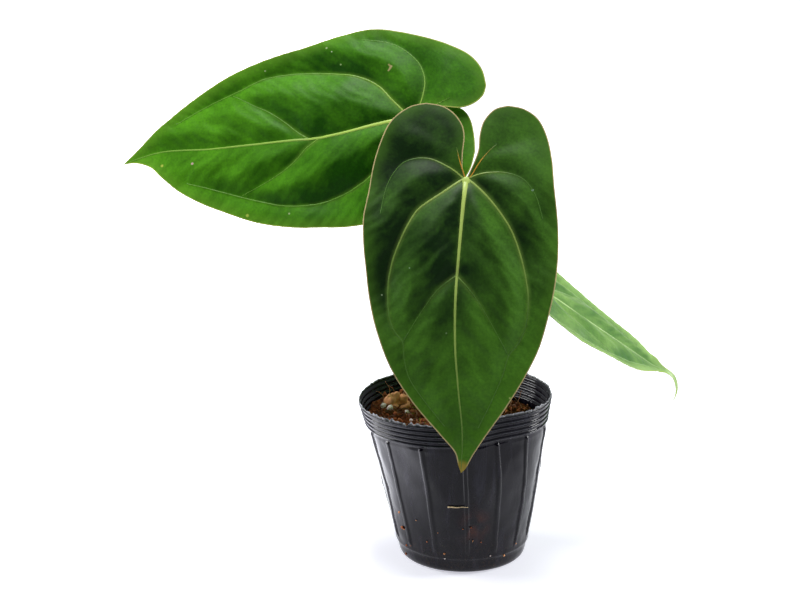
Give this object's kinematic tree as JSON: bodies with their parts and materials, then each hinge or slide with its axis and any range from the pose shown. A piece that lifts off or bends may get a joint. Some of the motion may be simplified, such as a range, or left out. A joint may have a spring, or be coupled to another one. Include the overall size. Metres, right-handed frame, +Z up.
{
  "type": "potted anthurium hybrid",
  "caption": "Young potted anthurium with heart-shaped quilted leaves on slender stalks, rising from a short crown in a soil-filled thin black nursery pot.",
  "frame": {"origin": "centre of the pot's flat base, on the surface that it stands on", "axes": "+Z up, -Y towards the side that the front leaf faces, +X to the right of it"},
  "size_m": [0.3517, 0.1926, 0.3179],
  "materials": {
    "pot_film": "gloss",
    "potting_mix": "matte",
    "crown_skin": "matte",
    "stalk_skin": "satin",
    "leaf_dark": "satin",
    "leaf_mid": "satin",
    "leaf_pale": "satin"
  },
  "bodies": {
    "root": {"pot": "pot_film", "soil": "potting_mix", "stem": "crown_skin", "petiole_front": "stalk_skin", "petiole_left": "stalk_skin", "petiole_right": "stalk_skin", "blade_front": "leaf_dark", "blade_left": "leaf_mid", "blade_right": "leaf_pale"}
  },
  "joints": []
}
